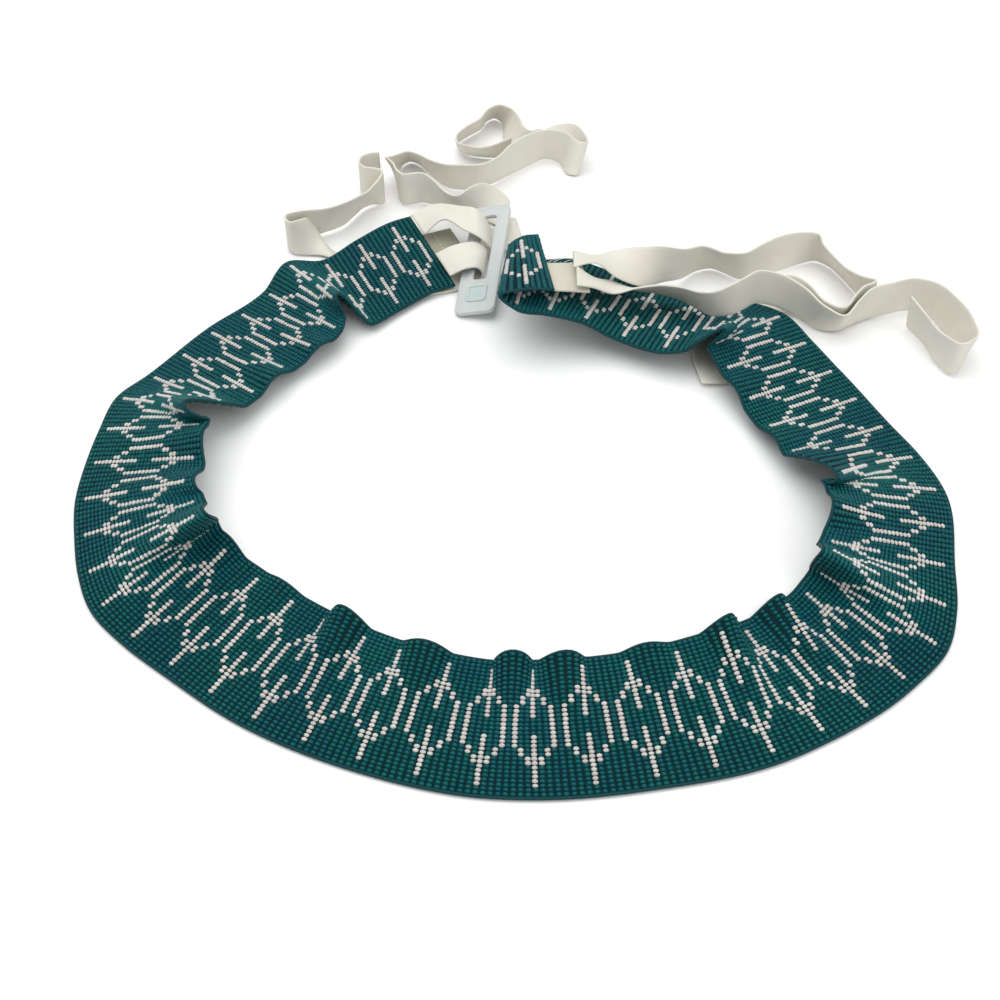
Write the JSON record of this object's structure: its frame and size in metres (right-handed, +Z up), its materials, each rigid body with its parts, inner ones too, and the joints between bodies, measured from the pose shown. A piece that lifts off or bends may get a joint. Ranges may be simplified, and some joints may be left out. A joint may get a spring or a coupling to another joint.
{
  "type": "beaded belt with plastic hanger",
  "caption": "Wide woven bead belt laid open in a loop, with a zigzag flower pattern, cloth ends, four long tape ties and a flat slotted plastic hanger.",
  "frame": {"origin": "middle of the footprint, on the surface that the belt lies on", "axes": "+Z up from the surface; +Y from the near edge of the loop to the ties at the back; +X to the right"},
  "size_m": [0.3148, 0.3624, 0.0312],
  "materials": {
    "beads": "semi-gloss dark teal glass seed beads with matt white ones, opaque",
    "cotton_facing": "plain woven off-white cotton",
    "cotton_tape": "matt off-white woven cotton tape",
    "frosted_plastic": "frosted translucent pale grey plastic"
  },
  "bodies": {
    "root": {"beaded_band": "beads", "facing_left": "cotton_facing", "facing_right": "cotton_facing", "tie_left_upper": "cotton_tape", "tie_left_lower": "cotton_tape", "tie_right_upper": "cotton_tape", "tie_right_lower": "cotton_tape", "plastic_hanger": "frosted_plastic"}
  },
  "joints": []
}
